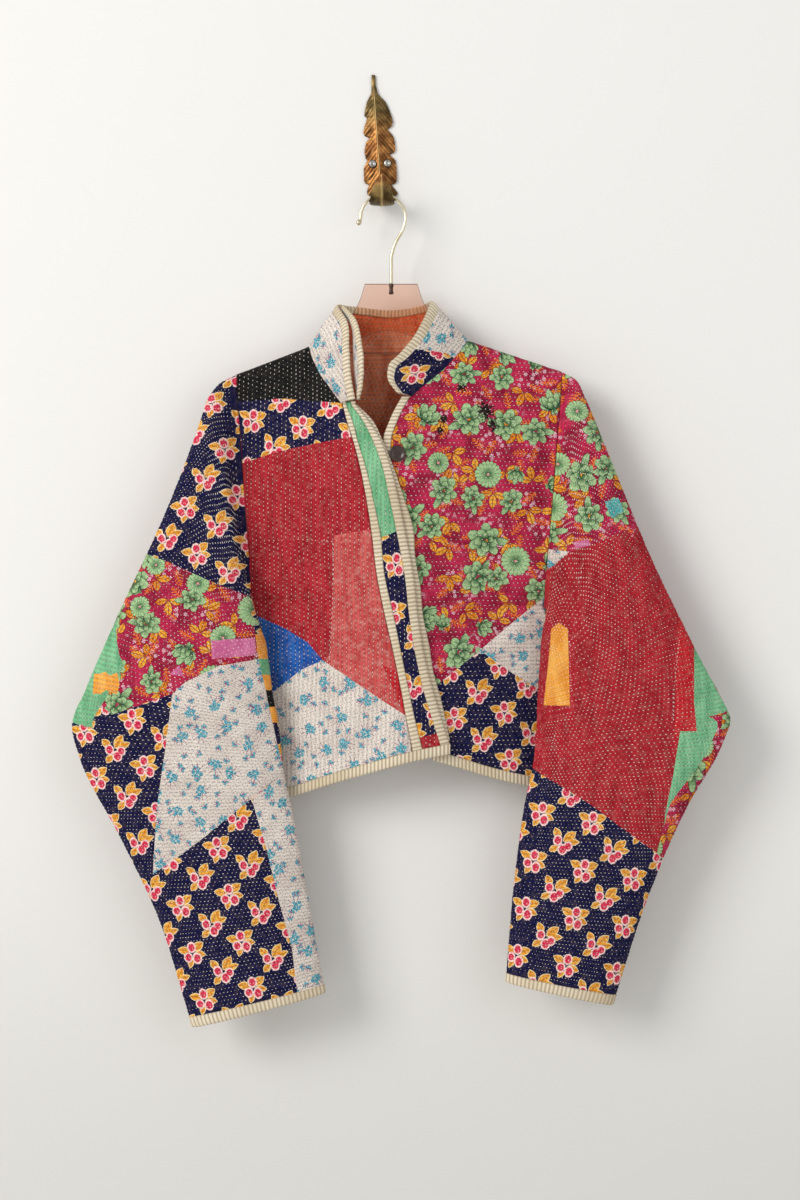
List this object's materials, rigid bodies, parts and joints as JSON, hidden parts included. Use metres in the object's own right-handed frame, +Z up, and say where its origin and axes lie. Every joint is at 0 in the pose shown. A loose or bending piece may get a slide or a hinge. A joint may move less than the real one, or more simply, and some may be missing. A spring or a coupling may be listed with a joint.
{
  "type": "quilted cropped jacket on hanger and wall hook",
  "caption": "Cropped, wide-sleeved quilted patchwork jacket with stand collar, bound edges and hidden front placket, hung on a clear hanger from a cast leaf wall hook.",
  "frame": {"origin": "on the wall hook's flat back, between its leaf tip and its foot, on the wall's surface", "axes": "+Z up, +Y into the wall, so the jacket's front faces -Y and +X is the viewer's right"},
  "size_m": [0.7533, 0.0967, 1.1067],
  "materials": {
    "quilt_left": "patchwork of printed and plain cottons with white running stitch",
    "quilt_right": "patchwork of floral, sprig and navy printed cottons with white running stitch",
    "quilt_back": "patchwork of printed and plain cottons with white running stitch",
    "sleeve_cloth": "patchwork of navy, magenta, red and sprig prints with white running stitch",
    "collar_cloth": "white sprig and floral print, quilted, rust lining inside",
    "band_cloth": "green and navy printed cotton",
    "binding": "folded cream cotton with beige cross stripes",
    "acrylic": "clear, faintly pink, polished",
    "gold_wire": "pale gold plated, polished",
    "cast_brass": "aged cast brass",
    "horn": "dark brown, glossy"
  },
  "bodies": {
    "root": {"back": "quilt_back", "front_left": "quilt_left", "front_right": "quilt_right", "sleeve_left_upper": "sleeve_cloth", "sleeve_left_lower": "sleeve_cloth", "sleeve_right_upper": "sleeve_cloth", "sleeve_right_lower": "sleeve_cloth", "collar": "collar_cloth", "placket_band": "band_cloth", "fly_band": "band_cloth", "collar_binding": "binding", "fly_collar_binding": "binding", "placket_seam_binding": "binding", "front_left_binding": "binding", "fly_binding": "binding", "front_right_binding": "binding", "hem_left_binding": "binding", "hem_right_binding": "binding", "hem_back_binding": "binding", "cuff_left_binding": "binding", "cuff_right_binding": "binding", "button": "horn", "hanger_plate": "acrylic", "hanger_wire": "gold_wire", "leaf_hook": "cast_brass", "screw_left": "cast_brass", "screw_right": "cast_brass"}
  },
  "joints": []
}
